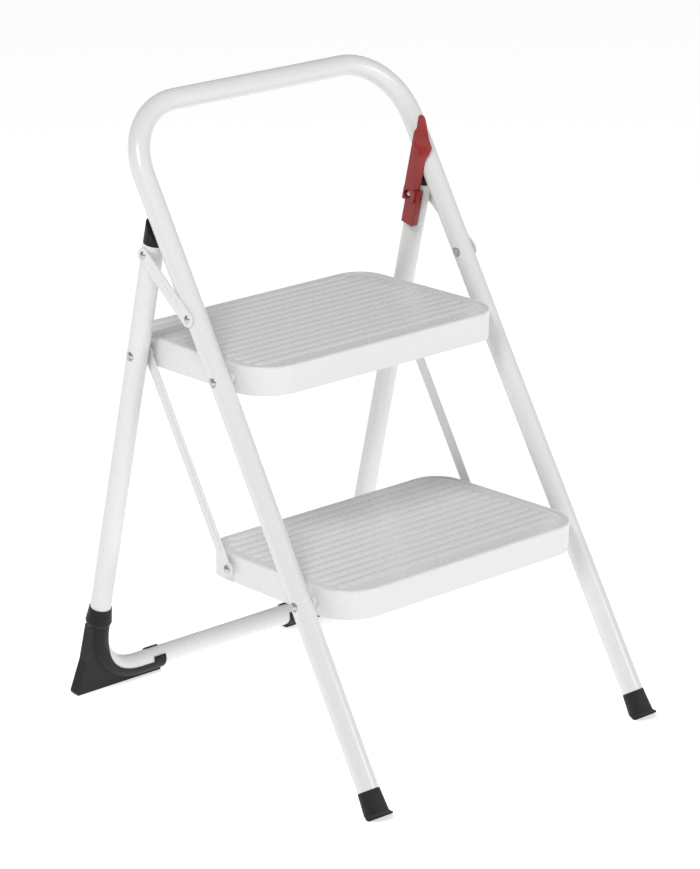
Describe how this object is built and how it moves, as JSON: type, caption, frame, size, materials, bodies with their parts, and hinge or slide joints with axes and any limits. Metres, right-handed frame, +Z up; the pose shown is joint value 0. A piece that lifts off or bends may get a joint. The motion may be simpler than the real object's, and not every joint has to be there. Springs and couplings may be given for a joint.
{
  "type": "step stool",
  "caption": "Folding step stool with a bent round-tube frame, ribbed metal treads, a handrail loop and a side latch.",
  "frame": {"origin": "floor level, at the middle of the stool's footprint when open", "axes": "+X to the stool's right, +Y the way the user climbs (to the rear), +Z up"},
  "size_m": [0.4638, 0.5346, 0.7354],
  "materials": {
    "white_paint": "gloss",
    "black_plastic": "satin",
    "black_rubber": "matte",
    "red_plastic": "satin",
    "rivet_steel": "bright"
  },
  "bodies": {
    "front": {"front_frame": "white_paint", "left_front_foot": "black_rubber", "right_front_foot": "black_rubber", "top_step_rivets": "rivet_steel", "lower_step_rivets": "rivet_steel", "link_rivets": "rivet_steel"},
    "top_tread": {"top_step": "white_paint", "top_step_spacers": "white_paint", "strip_top_spacers": "white_paint"},
    "lower_tread": {"lower_step": "white_paint", "lower_step_spacers": "white_paint", "strip_bottom_spacers": "white_paint", "strip_rivets": "rivet_steel"},
    "rear": {"rear_frame": "white_paint", "left_rear_foot": "black_plastic", "right_rear_foot": "black_plastic", "left_leg_cap": "black_plastic", "right_leg_cap": "black_plastic", "rear_leg_rivets": "rivet_steel", "left_cap_pin": "rivet_steel", "latch_rivet": "rivet_steel", "latch_base": "red_plastic"},
    "link_left": {"left_link": "white_paint", "left_link_rivet": "rivet_steel"},
    "link_right": {"right_link": "white_paint", "right_link_rivet": "rivet_steel"},
    "strip_left": {"left_strip": "white_paint"},
    "strip_right": {"right_strip": "white_paint"},
    "catch": {"latch_arm": "red_plastic"}
  },
  "joints": [
    {"name": "top_step_hinge", "type": "hinge", "parent": "front", "child": "top_tread", "pos_m": [0, 0.01041, 0.4415], "axis": [-1, 0, 0], "range_deg": [0, 96]},
    {"name": "lower_step_hinge", "type": "hinge", "parent": "front", "child": "lower_tread", "pos_m": [0, -0.12488, 0.213], "axis": [-1, 0, 0], "range_deg": [0, 97]},
    {"name": "rear_frame_hinge", "type": "hinge", "parent": "top_tread", "child": "rear", "pos_m": [0, 0.15345, 0.4415], "axis": [-1, 0, 0], "range_deg": [-55, 0]},
    {"name": "left_strip_hinge", "type": "hinge", "parent": "top_tread", "child": "strip_left", "pos_m": [0, 0.15345, 0.4415], "axis": [-1, 0, 0], "range_deg": [-97, 0]},
    {"name": "right_strip_hinge", "type": "hinge", "parent": "top_tread", "child": "strip_right", "pos_m": [0, 0.15345, 0.4415], "axis": [-1, 0, 0], "range_deg": [-97, 0]},
    {"name": "left_link_hinge", "type": "hinge", "parent": "front", "child": "link_left", "pos_m": [0, 0.04932, 0.5072], "axis": [-1, 0, 0], "range_deg": [0, 125]},
    {"name": "right_link_hinge", "type": "hinge", "parent": "front", "child": "link_right", "pos_m": [0, 0.04932, 0.5072], "axis": [-1, 0, 0], "range_deg": [0, 125]},
    {"name": "latch_flex", "type": "hinge", "parent": "rear", "child": "catch", "pos_m": [0.1885, 0.12231, 0.57426], "axis": [0, -0.9736, -0.2284], "range_deg": [0, 12], "stiffness_Nm_per_rad": 0.5}
  ],
  "couplings": [
    {"joint": "lower_step_hinge", "follows": "top_step_hinge", "ratio": 1},
    {"joint": "rear_frame_hinge", "follows": "top_step_hinge", "ratio": -0.56635},
    {"joint": "left_strip_hinge", "follows": "top_step_hinge", "ratio": -1},
    {"joint": "right_strip_hinge", "follows": "top_step_hinge", "ratio": -1},
    {"joint": "left_link_hinge", "follows": "top_step_hinge", "ratio": 1.2911},
    {"joint": "right_link_hinge", "follows": "top_step_hinge", "ratio": 1.2911}
  ]
}
